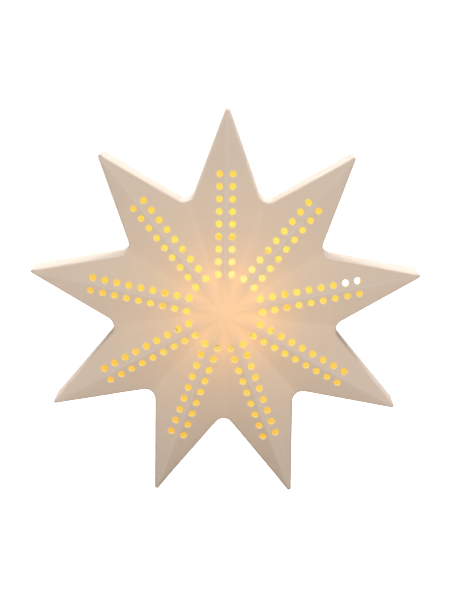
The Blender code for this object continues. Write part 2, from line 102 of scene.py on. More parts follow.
# ---- Places, from the frame ----
SHELL_LOW, SHELL_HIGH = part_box("front_shell")
STAR_HEIGHT = SHELL_HIGH.z - SHELL_LOW.z
TIP_ARC_CENTRE = (STAR_HEIGHT - 2 * TIP_ROUND) / (1 + math.cos(HALF_STEP))
CENTRE_HEIGHT = SHELL_LOW.z + TIP_ARC_CENTRE * math.cos(HALF_STEP) + TIP_ROUND


def tip_half_angle():
    """Half the angle of a tip whose round is tangent to two straight sides, found by halving."""
    low, high = math.radians(5), math.radians(60)
    for _ in range(60):
        middle = (low + high) / 2
        tip = TIP_ARC_CENTRE + TIP_ROUND / math.sin(middle)
        across = NOTCH_RADIUS * math.sin(HALF_STEP)
        if math.atan2(across, tip - NOTCH_RADIUS * math.cos(HALF_STEP)) > middle:
            low = middle
        else:
            high = middle
    return low


TIP_HALF_ANGLE = tip_half_angle()
SIDE_ANGLE = math.pi / 2 - TIP_HALF_ANGLE
NOTCH_ARC_CENTRE = NOTCH_RADIUS + NOTCH_ROUND / math.sin(TIP_HALF_ANGLE + HALF_STEP)
EDGE_DISTANCE = TIP_ARC_CENTRE * math.sin(TIP_HALF_ANGLE) + TIP_ROUND
FACET_SLOPE = RELIEF_HEIGHT / EDGE_DISTANCE
EDGE_TURN = math.pi / 2 - math.atan(FACET_SLOPE)
EDGE_INSET = EDGE_ROUND * (1 - math.cos(EDGE_TURN))
FACET_START = EDGE_ROUND * math.sin(EDGE_TURN)
APEX = FACET_START + FACET_SLOPE * (EDGE_DISTANCE - EDGE_INSET)
CENTRE_Y = SHELL_LOW.y + APEX
BACK = CENTRE_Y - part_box("back_wall")[1].y
SEAM = BACK + WALL
STAR_CENTRE = Vector((0, CENTRE_Y, CENTRE_HEIGHT))
STAR_PLACE = Matrix.Translation(STAR_CENTRE) @ Matrix.Rotation(math.pi / 2, 4, "X")

ARC_POINTS = 9
EDGE_STEPS = 6
SOFT_STEPS = 4
HOLE_SIDES = 24
DOME_RINGS = 3
DOME_SHARE = 0.6
TURN_STEPS = 96
SMALL_TURN_STEPS = 32
MERGE = 1e-6
CUT_MARGIN = 0.005
WHOLE_TURN = 2 * math.pi


# ---- Mesh helpers ----
def link(name, data):
    obj = bpy.data.objects.new(name, data)
    bpy.context.scene.collection.objects.link(obj)
    return obj


def mesh_from(name, bm, smooth_angle):
    mesh = bpy.data.meshes.new(name)
    bm.to_mesh(mesh)
    bm.free()
    mesh.shade_smooth()
    mesh.set_sharp_from_angle(angle=math.radians(smooth_angle))
    return mesh


def add_piece(name, bm, body, nodes, finishes, thickness=0.0, edge=0.0, other_side=0):
    """Makes the finished piece, which rides on body and stands for the named nodes."""
    obj = link(name, mesh_from(name, bm, 35))
    for finish in finishes:
        obj.data.materials.append(finish)
    if thickness:
        solidify = obj.modifiers.new("sheet", "SOLIDIFY")
        solidify.thickness = thickness
        solidify.offset = 0
        solidify.use_even_offset = True
        solidify.material_offset = other_side
    if edge:
        bevel = obj.modifiers.new("edge", "BEVEL")
        bevel.width = edge
        bevel.segments = 2
        bevel.limit_method = "ANGLE"
        bevel.angle_limit = math.radians(50)
    weighted = obj.modifiers.new("even_normals", "WEIGHTED_NORMAL")
    weighted.keep_sharp = True
    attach(obj, body)
    if nodes:
        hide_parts(*nodes)


def add_cylinder(bm, radius, low, high, place, sides):
    bmesh.ops.create_cone(
        bm,
        cap_ends=True,
        segments=sides,
        radius1=radius,
        radius2=radius,
        depth=high - low,
        matrix=place @ Matrix.Translation((0, 0, (low + high) / 2)),
    )


def subtract(bm, cutter, finishes):
    """The first bmesh with the second cut away, as a new bmesh; both given ones are freed."""
    objects = []
    for source in (bm, cutter):
        mesh = bpy.data.meshes.new("working")
        source.to_mesh(mesh)
        source.free()
        for finish in finishes:
            mesh.materials.append(finish)
        objects.append(link("working", mesh))
    solid, tool = objects
    modifier = solid.modifiers.new("cut", "BOOLEAN")
    modifier.operation = "DIFFERENCE"
    modifier.solver = "EXACT"
    modifier.object = tool
    result = bmesh.new()
    result.from_object(solid, bpy.context.evaluated_depsgraph_get())
    for obj in objects:
        mesh = obj.data
        bpy.data.objects.remove(obj)
        bpy.data.meshes.remove(mesh)
    return result


def round_lips(bm, edges, width):
    """Rounds the given edges of a pierced wall, and gives the rounding the outer finish."""
    lips = bmesh.ops.bevel(
        bm,
        geom=edges,
        offset=width,
        segments=3,
        profile=0.5,
        affect="EDGES",
        clamp_overlap=False,
        material=-1,
    )
    for face in lips["faces"]:
        face.material_index = 0


def new_verts(made):
    return [item for item in made["geom"] if isinstance(item, bmesh.types.BMVert)]


def new_edges(made):
    return [item for item in made["geom"] if isinstance(item, bmesh.types.BMEdge)]


def fillet(points, radius, steps=5):
    """The polyline with each inner corner replaced by an arc of the radius, or the most that fits."""
    points = [Vector(point) for point in points]
    made = [points[0]]
    for before, corner, after in zip(points, points[1:], points[2:]):
        inward = (before - corner).normalized()
        outward = (after - corner).normalized()
        half = inward.angle(outward) / 2
        reach = min(radius / math.tan(half), (before - corner).length / 2, (after - corner).length / 2)
        centre = corner + (inward + outward).normalized() * reach / math.cos(half)
        start = corner + inward * reach - centre
        end = corner + outward * reach - centre
        for step in range(steps + 1):
            share = step / steps
            turn = math.sin(start.angle(end) * (1 - share)) * start + math.sin(start.angle(end) * share) * end
            made.append(centre + turn / math.sin(start.angle(end)))
    made.append(points[-1])
    return made


def turned(profile, steps=TURN_STEPS):
    """An open or closed profile of (radius, height) points, turned about z."""
    bm = bmesh.new()
    verts = [bm.verts.new((point[0], 0, point[1])) for point in profile]
    for first, second in zip(verts, verts[1:]):
        bm.edges.new((first, second))
    bmesh.ops.spin(
        bm,
        geom=bm.verts[:] + bm.edges[:],
        cent=(0, 0, 0),
        axis=(0, 0, 1),
        angle=WHOLE_TURN,
        steps=steps,
        use_merge=True,
    )
    bmesh.ops.remove_doubles(bm, verts=bm.verts, dist=MERGE)
    bmesh.ops.recalc_face_normals(bm, faces=bm.faces)
    return bm


# ---- Star outline ----
def arc(centre, radius, start, end, points):
    made = []
    for i in range(points):
        angle = start + (end - start) * i / (points - 1)
        made.append(centre + Vector((math.cos(angle), math.sin(angle))) * radius)
    return made


def half_ray():
    """The outline from a tip on the x axis to the notch beside it."""
    tip = arc(Vector((TIP_ARC_CENTRE, 0)), TIP_ROUND, 0, SIDE_ANGLE, ARC_POINTS)
    notch_centre = Vector((math.cos(HALF_STEP), math.sin(HALF_STEP))) * NOTCH_ARC_CENTRE
    notch = arc(notch_centre, NOTCH_ROUND, SIDE_ANGLE + math.pi, HALF_STEP + math.pi, ARC_POINTS)
    return tip + notch


def ray_angle(ray):
    return math.pi / 2 + 2 * HALF_STEP * ray


def ray_place(ray, along, across):
    return Matrix.Rotation(ray_angle(ray), 4, "Z") @ Matrix.Translation((along, across, 0))


def everything(bm):
    return bm.verts[:] + bm.edges[:] + bm.faces[:]


def half_ray_net(scale, planes):
    """A flat half ray along x, from the star's middle to its scaled outline, cut along the planes."""
    bm = bmesh.new()
    corners = [Vector((0, 0))] + [point * scale for point in half_ray()]
    bm.faces.new([bm.verts.new((point.x, point.y, 0)) for point in corners])
    for point, normal in planes:
        bmesh.ops.bisect_plane(bm, geom=everything(bm), dist=MERGE, plane_co=point, plane_no=normal)
    return bm


def whole_star(bm):
    """Mirrors a half ray that lies along x, and repeats it round the star with one tip up."""
    bmesh.ops.mirror(bm, geom=everything(bm), axis="Y", merge_dist=MERGE)
    bmesh.ops.recalc_face_normals(bm, faces=bm.faces)
    upright = Matrix.Rotation(math.pi / 2, 3, "Z")
    bmesh.ops.rotate(bm, verts=bm.verts, cent=(0, 0, 0), matrix=upright)
    bmesh.ops.spin(
        bm,
        geom=everything(bm),
        cent=(0, 0, 0),
        axis=(0, 0, 1),
        angle=WHOLE_TURN,
        steps=RAYS,
        use_duplicate=True,
    )
    bmesh.ops.remove_doubles(bm, verts=bm.verts, dist=MERGE * 5)


def inset_scale(inset):
    """Every side is equally far from the star's middle, so an inset is a plain scaling."""
    return 1 - inset / EDGE_DISTANCE


def boundary(bm):
    return [edge for edge in bm.edges if edge.is_boundary]


def extend(bm, edges, grow, height_of, finish=0):
    """Extrudes a closed loop of edges, scales it about z, and sets each new point's height."""
    made = bmesh.ops.extrude_edge_only(bm, edges=edges)
    verts = new_verts(made)
    for face in {face for vert in verts for face in vert.link_faces}:
        face.material_index = finish
    bmesh.ops.scale(bm, vec=(grow, grow, 1), verts=verts)
    for vert in verts:
        vert.co.z = height_of(vert.co.z)
    return [edge for edge in new_edges(made) if edge.is_boundary]


# ---- Ceramic star ----
def softened(apart, width):
    return max(width - apart, 0) ** 2 / (4 * width)


def facet_height(x, y):
    """Height over a half ray between its ridge y = 0 and the valley beside it, both softened."""
    twin = 2 * HALF_STEP - SIDE_ANGLE
    own = -(x * math.cos(SIDE_ANGLE) + y * math.sin(SIDE_ANGLE))
    over_ridge = -(x * math.cos(SIDE_ANGLE) - y * math.sin(SIDE_ANGLE))
    over_valley = -(x * math.cos(twin) + y * math.sin(twin))
    ridge = softened(over_ridge - own, 2 * math.sin(SIDE_ANGLE) * RIDGE_SOFT)
    valley = softened(own - over_valley, 2 * math.sin(SIDE_ANGLE - HALF_STEP) * VALLEY_SOFT)
    cap = max(APEX_SOFT - math.hypot(x, y), 0) ** 2 / (4 * APEX_SOFT)
    return APEX + FACET_SLOPE * (own - ridge + valley - cap)


def front_net():
    """The faceted front inside its rounded edge, fine enough across the soft ridges and valleys."""
    planes = []
    valley_normal = Vector((-math.sin(HALF_STEP), math.cos(HALF_STEP), 0))
    for step in range(1, SOFT_STEPS + 1):
        share = step / SOFT_STEPS
        planes.append((Vector((0, RIDGE_SOFT * share, 0)), Vector((0, 1, 0))))
        planes.append((valley_normal * -VALLEY_SOFT * share, valley_normal))
    along = FIRST_HOLE - HOLE_PITCH * 2.5
    while along < TIP_ARC_CENTRE:
        planes.append((Vector((along, 0, 0)), Vector((1, 0, 0))))
        along += HOLE_PITCH
    bm = half_ray_net(inset_scale(EDGE_INSET), planes)
    for vert in bm.verts:
        vert.co.z = facet_height(vert.co.x, vert.co.y)
    whole_star(bm)
    return bm


def is_lip(edge):
    """An edge round a hole where its wall meets the front: two finishes meet there."""
    first, second = edge.link_faces
    middle = (edge.verts[0].co + edge.verts[1].co) / 2
    return first.material_index != second.material_index and middle.z > SEAM + WALL


def make_front(ceramic, painted_light_inside):
    finishes = [ceramic, painted_light_inside]
    bm = front_net()
    edges = boundary(bm)
    scale = inset_scale(EDGE_INSET)
    height = FACET_START
    for step in range(EDGE_STEPS - 1, -1, -1):
        turn = EDGE_TURN * step / EDGE_STEPS
        next_scale = inset_scale(EDGE_ROUND * (1 - math.cos(turn)))
        next_height = EDGE_ROUND * math.sin(turn)
        fade = step / (step + 1)
        edges = extend(bm, edges, next_scale / scale, lambda z: next_height + (z - height) * fade)
        scale, height = next_scale, next_height
    edges = extend(bm, edges, 1, lambda z: SEAM)
    edges = extend(bm, edges, inset_scale(WALL), lambda z: SEAM, 1)
    inner_apex = APEX - WALL * math.sqrt(1 + FACET_SLOPE**2)
    inner_edge = inner_apex - FACET_SLOPE * (EDGE_DISTANCE - WALL)
    edges = extend(bm, edges, 1, lambda z: inner_edge, 1)
    for _ in range(DOME_RINGS):
        edges = extend(bm, edges, DOME_SHARE, lambda z: inner_apex + (z - inner_apex) * DOME_SHARE, 1)
    middle = bmesh.ops.contextual_create(bm, geom=edges)["faces"]
    for face in middle:
        face.material_index = 1
    bmesh.ops.poke(bm, faces=middle)["verts"][0].co = (0, 0, inner_apex)
    bmesh.ops.recalc_face_normals(bm, faces=bm.faces)

    cutter = bmesh.new()
    for ray in range(RAYS):
        for side in (-1, 1):
            for i in range(HOLES_IN_ROW):
                place = ray_place(ray, FIRST_HOLE + HOLE_PITCH * i, side * ROW_OFFSET)
                low = inner_edge - CUT_MARGIN
                add_cylinder(cutter, HOLE_RADIUS, low, APEX + CUT_MARGIN, place, HOLE_SIDES)
    for face in cutter.faces:
        face.material_index = 1
    bm = subtract(bm, cutter, finishes)
    round_lips(bm, [edge for edge in bm.edges if is_lip(edge)], HOLE_LIP)
    bm.transform(STAR_PLACE)
    add_piece("star_front", bm, "star", ["front_shell"], finishes)


def make_back(ceramic, painted_light_inside):
    """The flat rear wall with its rounded edge, the round opening and the hole for a hook."""
    finishes = [ceramic, painted_light_inside]
    bm = half_ray_net(inset_scale(WALL), [])
    whole_star(bm)
    bmesh.ops.dissolve_limit(
        bm, angle_limit=math.radians(1), verts=bm.verts, edges=[e for e in bm.edges if not e.is_boundary]
    )
    for vert in bm.verts:
        vert.co.z = SEAM
    for face in bm.faces:
        face.material_index = 1
    edges = extend(bm, boundary(bm), 1 / inset_scale(WALL), lambda z: SEAM, 1)
    scale = 1
    for step in range(EDGE_STEPS + 1):
        turn = math.pi / 2 * step / EDGE_STEPS
        next_scale = inset_scale(EDGE_ROUND * (1 - math.cos(turn)))
        height = BACK + EDGE_ROUND * (1 - math.sin(turn))
        edges = extend(bm, edges, next_scale / scale, lambda z: height)
        scale = next_scale
    bmesh.ops.contextual_create(bm, geom=edges)
    bmesh.ops.recalc_face_normals(bm, faces=bm.faces)

    cutter = bmesh.new()
    low, high = BACK - CUT_MARGIN, SEAM + CUT_MARGIN
    add_cylinder(cutter, OPENING_RADIUS, low, high, Matrix.Identity(4), TURN_STEPS)
    hang_place = ray_place(HANG_HOLE_RAY, HANG_HOLE_AT, 0)
    add_cylinder(cutter, HANG_HOLE_RADIUS, low, high, hang_place, TURN_STEPS // 2)
    for face in cutter.faces:
        face.material_index = 1
    bm = subtract(bm, cutter, finishes)
    rims = [
        edge
        for edge in bm.edges
        if all(abs(vert.co.z - BACK) < MERGE * 10 for vert in edge.verts)
        and edge.calc_face_angle(0) > math.radians(60)
    ]
    round_lips(bm, rims, BACK_LIP)
    bm.transform(STAR_PLACE)
    add_piece("star_back", bm, "star", ["back_wall"], finishes)


# ---- Metal carrier ----
COVER_LOW, COVER_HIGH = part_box("cover_plate")
DISC_FRONT = CENTRE_Y - COVER_LOW.y
FLANGE_BACK = CENTRE_Y - COVER_HIGH.y
FLANGE_RADIUS = COVER_HIGH.x


def make_cover(enamel, painted_light_enamel):
    """The pressed pan: a disc with a finger hole, a skirt, and a flange behind the star."""
    skirt = OPENING_RADIUS - SPRING_SPACE - SHEET / 2
    disc = DISC_FRONT - SHEET / 2
    flange = FLANGE_BACK + SHEET / 2
    path = [(FINGER_HOLE_RADIUS, disc), (skirt, disc), (skirt, flange), (FLANGE_RADIUS, flange)]
    bm = turned(fillet(path, PRESS_BEND))
    bm.transform(STAR_PLACE)
    add_piece(
        "cover_pan",
        bm,
        "carrier",
        ["cover_plate"],
        [enamel, painted_light_enamel],
        SHEET,
        SHEET_EDGE,
        other_side=1,
    )


def make_shelf(zinc):
    """The bracket: a leg against the disc, a rounded bend, and a plate with rounded corners."""
    low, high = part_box("tealight_shelf")
    width = high.x - low.x
    leg_y = high.y - SHELF_SHEET / 2
    plate_z = high.z - SHELF_SHEET / 2
    path = [(leg_y, low.z), (leg_y, plate_z), (low.y, plate_z)]
    bm = bmesh.new()
    verts = [bm.verts.new((-width / 2, y, z)) for y, z in fillet(path, SHELF_BEND, 8)]
    edges = [bm.edges.new(pair) for pair in zip(verts, verts[1:])]
    moved = new_verts(bmesh.ops.extrude_edge_only(bm, edges=edges))
    bmesh.ops.translate(bm, vec=(width, 0, 0), verts=moved)
    corners = [vert for vert in bm.verts if len(vert.link_faces) == 1]
    bmesh.ops.bevel(
        bm,
        geom=corners,
        offset=SHELF_CORNER,
        segments=6,
        profile=0.5,
        affect="VERTICES",
        clamp_overlap=False,
        material=-1,
    )
    bmesh.ops.recalc_face_normals(bm, faces=bm.faces)
    add_piece(
        "shelf_bracket", bm, "carrier", ["tealight_shelf"], [zinc], SHELF_SHEET, SHEET_EDGE
    )


def seat_place(low, high):
    return Matrix.Translation(((low.x + high.x) / 2, (low.y + high.y) / 2, low.z))


def make_dish(tin):
    """The pressed dish: a flat floor with a raised ring, and an upright lip."""
    low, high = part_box("tealight_dish")
    half = DISH_SHEET / 2
    outer = (high.x - low.x) / 2 - half
    top = high.z - low.z
    floor = half
    inner_foot = BEAD_RADIUS - BEAD_WIDTH / 2 - BEAD_HEIGHT
    outer_foot = BEAD_RADIUS + BEAD_WIDTH / 2 + BEAD_HEIGHT
    path = [
        (0.0018, floor),
        (inner_foot, floor),
        (BEAD_RADIUS - BEAD_WIDTH / 2, floor + BEAD_HEIGHT),
        (BEAD_RADIUS + BEAD_WIDTH / 2, floor + BEAD_HEIGHT),
        (outer_foot, floor),
        (outer, floor),
        (outer, top),
    ]
    bm = turned(fillet(path, DISH_BEND))
    bm.transform(seat_place(low, high))
    add_piece(
        "seat_dish", bm, "carrier", ["tealight_dish"], [tin], DISH_SHEET, SHEET_EDGE
    )


def make_rivet(node, metal):
    """A rivet with a low domed head at each end, turned about its shank."""
    low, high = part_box(node)
    size = high - low
    middle = (low + high) / 2
    length, radius = size.y, size.x / 2
    place = Matrix.Translation(middle) @ Matrix.Rotation(math.pi / 2, 4, "X")
    dome = radius * 0.5
    points = []
    for step in range(6):
        turn = math.pi / 2 * step / 5
        points.append((radius * math.sin(turn), length / 2 - dome * (1 - math.cos(turn))))
    mirrored = [(r, -h) for r, h in reversed(points)]
    shank = radius * 0.6
    bm = turned(points + [(shank, points[-1][1]), (shank, -points[-1][1])] + mirrored, SMALL_TURN_STEPS)
    bm.transform(place)
    add_piece(node + "_domed", bm, "carrier", [node], [metal])


# ---- Tealight ----
CUP_LOW, CUP_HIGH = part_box("tealight_cup")
CUP_PLACE = seat_place(CUP_LOW, CUP_HIGH)
CUP_RADIUS = (CUP_HIGH.x - CUP_LOW.x) / 2
CUP_HEIGHT = CUP_HIGH.z - CUP_LOW.z
WAX_LOW, WAX_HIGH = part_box("tealight_wax")
WICK_LOW, WICK_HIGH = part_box("wick")


def make_cup(foil):
    """A drawn foil cup with a rolled rim and a shallow step in its base."""
    half = CUP_FOIL / 2
    wall = CUP_RADIUS - 2 * CUP_FOIL
    roll = CUP_FOIL * 1.5
    path = [
        (0, CUP_FOIL * 2),
        (CUP_RADIUS * 0.72, CUP_FOIL * 2),
        (CUP_RADIUS * 0.75, half),
        (wall, half),
        (wall, CUP_HEIGHT - roll * 2),
    ]
    profile = fillet(path, CUP_BEND)
    centre = Vector((wall + roll, CUP_HEIGHT - roll * 1.6))
    profile += arc(centre, roll, math.pi, -math.pi * 0.6, 9)[1:]
    bm = turned(profile)
    bm.transform(CUP_PLACE)
    add_piece("foil_cup", bm, "tealight", ["tealight_cup"], [foil], CUP_FOIL)


def make_wax(wax):
    """The wax cake with a meniscus at the foil and a melted pool round the wick."""
    radius = (WAX_HIGH.x - WAX_LOW.x) / 2
    base = WAX_LOW.z - CUP_LOW.z
    top = WAX_HIGH.z - CUP_LOW.z
    profile = [(0.0011, top - POOL_DEPTH * 0.55), (0.0016, top - POOL_DEPTH * 0.8)]
    for step in range(1, 13):
        share = step / 12
        rise = share**6
        profile.append((0.0016 + (radius - 0.0018) * share, top - POOL_DEPTH * (1 - rise)))
    profile += [(radius, top - POOL_DEPTH * 0.2), (radius, base + 0.0008), (radius - 0.0008, base)]
    profile.append((0.0011, base))
    profile.append(profile[0])
    bm = turned(profile)
    bm.transform(CUP_PLACE)
    add_piece("wax_cake", bm, "tealight", ["tealight_wax"], [wax])


def wick_line(share):
    """The wick's middle line in the cup's frame, upright in the wax and leaning over at its top."""
    start = WICK_LOW.z - CUP_LOW.z
    end = WICK_HIGH.z - CUP_LOW.z
    lean = max(share - 0.7, 0) / 0.3
    return Vector((WICK_LEAN * lean**1.6, 0, start + (end - start) * (share - 0.02 * lean)))


def make_wick(cotton):
    """A braided wick: a lobed cord that twists as it rises and thins at its charred end."""
    bm = bmesh.new()
    bmesh.ops.create_circle(bm, cap_ends=True, segments=12, radius=WICK_RADIUS)
    for index, vert in enumerate(list(bm.verts)):
        if index % 4 < 2:
            vert.co *= 0.8
    face = bm.faces[:][0]
    bmesh.ops.translate(bm, vec=wick_line(0), verts=bm.verts)
    twist = Matrix.Rotation(math.radians(14), 3, "Z")
    for step in range(1, WICK_STEPS + 1):
        made = bmesh.ops.extrude_face_region(bm, geom=[face])
        if step > 1:
            bmesh.ops.delete(bm, geom=[face], context="FACES_ONLY")
        face = next(item for item in made["geom"] if isinstance(item, bmesh.types.BMFace))
        before, after = wick_line((step - 1) / WICK_STEPS), wick_line(step / WICK_STEPS)
        bmesh.ops.translate(bm, vec=after - before, verts=face.verts)
        bmesh.ops.rotate(bm, verts=face.verts, cent=after, matrix=twist)
        if step > WICK_STEPS - 4:
            shrink = Matrix.Translation(after) @ Matrix.Scale(0.86, 4) @ Matrix.Translation(-after)
            bmesh.ops.transform(bm, matrix=shrink, verts=face.verts)
    bmesh.ops.recalc_face_normals(bm, faces=bm.faces)
    bm.transform(CUP_PLACE)
    add_piece("braided_wick", bm, "tealight", ["wick"], [cotton])


def make_flame(fire):
    """A drop-shaped flame over the wick, widest a third of the way up."""
    profile = []
    for step in range(17):
        share = step / 16
        width = math.sin(math.pi * share**0.62) ** 0.9 * (1 - 0.25 * share)
        profile.append((FLAME_RADIUS * width if 0 < step < 16 else 0, FLAME_HEIGHT * share))
    bm = turned(profile, SMALL_TURN_STEPS)
    base = WICK_HIGH.z - CUP_LOW.z - FLAME_SINK
    bm.transform(CUP_PLACE @ Matrix.Translation((FLAME_SHIFT, 0, base)))
    add_piece("flame", bm, "tealight", [], [fire])


# ---- Material helpers ----
def add_node(tree, kind, inputs=(), **settings):
    """A node with its settings; inputs gives (socket, value or another node's output)."""
    made = tree.nodes.new(kind)
    for name, value in settings.items():
        setattr(made, name, value)
    for socket, value in inputs:
        if isinstance(value, bpy.types.NodeSocket):
            tree.links.new(value, made.inputs[socket])
        else:
            made.inputs[socket].default_value = value
    return made


def maths(tree, operation, *values):
    made = add_node(tree, "ShaderNodeMath", list(enumerate(values)), operation=operation)
    return made.outputs[0]


def distance(tree, first, second):
    squares = [maths(tree, "MULTIPLY", value, value) for value in (first, second)]
    return maths(tree, "SQRT", maths(tree, "ADD", *squares))


def smooth_range(tree, value, low, high, start=0.0, end=1.0):
    inputs = [("Value", value), ("From Min", low), ("From Max", high), ("To Min", start), ("To Max", end)]
    made = add_node(tree, "ShaderNodeMapRange", inputs, interpolation_type="SMOOTHSTEP")
    return made.outputs["Result"]


def mixed(tree, factor, first, second, blend="MIX"):
    made = add_node(tree, "ShaderNodeMix", data_type="RGBA", blend_type=blend)
    for name, value in (("Factor_Float", factor), ("A_Color", first), ("B_Color", second)):
        socket = next(item for item in made.inputs if item.identifier == name)
        if isinstance(value, bpy.types.NodeSocket):
            tree.links.new(value, socket)
        else:
            socket.default_value = value if name == "Factor_Float" else (*value, 1)
    return next(item for item in made.outputs if item.identifier == "Result_Color")


def ramp(tree, value, stops, interpolation="LINEAR"):
    made = add_node(tree, "ShaderNodeValToRGB", [("Fac", value)])
    made.color_ramp.interpolation = interpolation
    elements = made.color_ramp.elements
    while len(elements) < len(stops):
        elements.new(0.5)
    for element, (position, colour) in zip(elements, stops):
        element.position = position
        element.color = (*colour, 1)
    return made.outputs["Color"]


def new_material(name, **constants):
    made = bpy.data.materials.new(name)
    made.use_nodes = True
    shader = made.node_tree.nodes["Principled BSDF"]
    for socket, value in constants.items():
        shader.inputs[socket.replace("_", " ")].default_value = value
    return made, made.node_tree, shader


def object_place(tree):
    return add_node(tree, "ShaderNodeTexCoord").outputs["Object"]


def group_node(tree, group, **inputs):
    made = tree.nodes.new("ShaderNodeGroup")
    made.node_tree = group
    for name, value in inputs.items():
        socket = made.inputs[name.replace("_", " ")]
        if isinstance(value, bpy.types.NodeSocket):
            tree.links.new(value, socket)
        else:
            socket.default_value = value
    return made


def new_group(name, inputs, outputs):
    group = bpy.data.node_groups.new(name, "ShaderNodeTree")
    for label, kind in inputs:
        group.interface.new_socket(label, in_out="INPUT", socket_type=kind)
    for label, kind in outputs:
        group.interface.new_socket(label, in_out="OUTPUT", socket_type=kind)
    return group, group.nodes.new("NodeGroupInput"), group.nodes.new("NodeGroupOutput")


FLOAT, VECTOR, COLOUR = "NodeSocketFloat", "NodeSocketVector", "NodeSocketColor"


def make_ray_group():
    """Where a point lies on the star: how far out, how far from its ray's ridge, and from a hole's middle."""
    outputs = [("Radius", FLOAT), ("Across", FLOAT), ("From Hole", FLOAT)]
    group, inputs, out = new_group("place_on_star", [("Place", VECTOR)], outputs)
    parts = add_node(group, "ShaderNodeSeparateXYZ", [("Vector", inputs.outputs["Place"])])
    right = parts.outputs["X"]
    up = maths(group, "SUBTRACT", parts.outputs["Z"], CENTRE_HEIGHT)
    radius = distance(group, right, up)
    angle = maths(group, "SUBTRACT", maths(group, "ARCTAN2", up, right), math.pi / 2)
    folded = maths(group, "ABSOLUTE", maths(group, "WRAP", angle, HALF_STEP, -HALF_STEP))
    across = maths(group, "MULTIPLY", radius, maths(group, "SINE", folded))
    along = maths(group, "MULTIPLY", radius, maths(group, "COSINE", folded))
    past_first = maths(group, "SUBTRACT", along, FIRST_HOLE)
    number = maths(group, "ROUND", maths(group, "DIVIDE", past_first, HOLE_PITCH))
    number = maths(group, "MINIMUM", maths(group, "MAXIMUM", number, 0.0), HOLES_IN_ROW - 1.0)
    from_hole = maths(group, "SUBTRACT", past_first, maths(group, "MULTIPLY", number, HOLE_PITCH))
    beside = maths(group, "SUBTRACT", across, ROW_OFFSET)
    group.links.new(radius, out.inputs["Radius"])
    group.links.new(across, out.inputs["Across"])
    group.links.new(distance(group, from_hole, beside), out.inputs["From Hole"])
    return group


def make_patch_group():
    """A soft round patch of painted light on the star about a middle, 1 there and 0 at its reach."""
    group, inputs, out = new_group(
        "round_patch",
        [("Place", VECTOR), ("Right", FLOAT), ("Up", FLOAT), ("Reach", FLOAT)],
        [("Patch", FLOAT)],
    )
    parts = add_node(group, "ShaderNodeSeparateXYZ", [("Vector", inputs.outputs["Place"])])
    right = maths(group, "SUBTRACT", parts.outputs["X"], inputs.outputs["Right"])
    height = maths(group, "SUBTRACT", parts.outputs["Z"], CENTRE_HEIGHT)
    up = maths(group, "SUBTRACT", height, inputs.outputs["Up"])
    share = maths(group, "DIVIDE", distance(group, right, up), inputs.outputs["Reach"])
    fall = maths(group, "SUBTRACT", 1.0, maths(group, "MINIMUM", share, 1.0))
    group.links.new(maths(group, "POWER", fall, 2.0), out.inputs["Patch"])
    return group


def make_grain_group():
    """Fine grain and broad mottling, each from 0 to 1, and their sum as a height."""
    group, inputs, out = new_group(
        "grain",
        [("Place", VECTOR), ("Fine Scale", FLOAT), ("Broad Scale", FLOAT), ("Fine Share", FLOAT)],
        [("Fine", FLOAT), ("Broad", FLOAT), ("Height", FLOAT)],
    )
    made = []
    for scale, detail in (("Fine Scale", 3.0), ("Broad Scale", 4.0)):
        settings = [
            ("Vector", inputs.outputs["Place"]),
            ("Scale", inputs.outputs[scale]),
            ("Detail", detail),
            ("Roughness", 0.55),
        ]
        made.append(add_node(group, "ShaderNodeTexNoise", settings).outputs["Fac"])
    fine, broad = made
    part = maths(group, "MULTIPLY", fine, inputs.outputs["Fine Share"])
    group.links.new(fine, out.inputs["Fine"])
    group.links.new(broad, out.inputs["Broad"])
    group.links.new(maths(group, "ADD", part, broad), out.inputs["Height"])
    return group


RAY_GROUP = make_ray_group()
PATCH_GROUP = make_patch_group()
GRAIN_GROUP = make_grain_group()


def bump(tree, shader, height, distance, strength=1.0):
    made = add_node(
        tree, "ShaderNodeBump", [("Height", height), ("Distance", distance), ("Strength", strength)]
    )
    tree.links.new(made.outputs["Normal"], shader.inputs["Normal"])


# ---- Materials ----
CLAY = (0.84, 0.765, 0.70)
# CLAY_PAINTED_RIDGE_SHADE: painted shade, a greyer band along each ridge's rounded crest.
CLAY_PAINTED_RIDGE_SHADE = (0.83, 0.775, 0.735)
# CLAY is the clay's own colour; CLAY_UNDER_PAINTED_GLOW is painted light, a yellower base where the glow is.
CLAY_UNDER_PAINTED_GLOW = (0.84, 0.765, 0.60)
# Painted light: the emission colour of the glow of the light inside, and its strength by distance from the
# middle.
PAINTED_GLOW = (0.43, 0.145, 0.0)
PAINTED_GLOW_BY_RADIUS = (
    (0.0, 0.73),
    (0.012, 0.78),
    (0.023, 0.84),
    (0.032, 0.62),
    (0.042, 0.40),
    (0.064, 0.15),
    (0.091, 0.04),
    (0.120, 0.0),
)


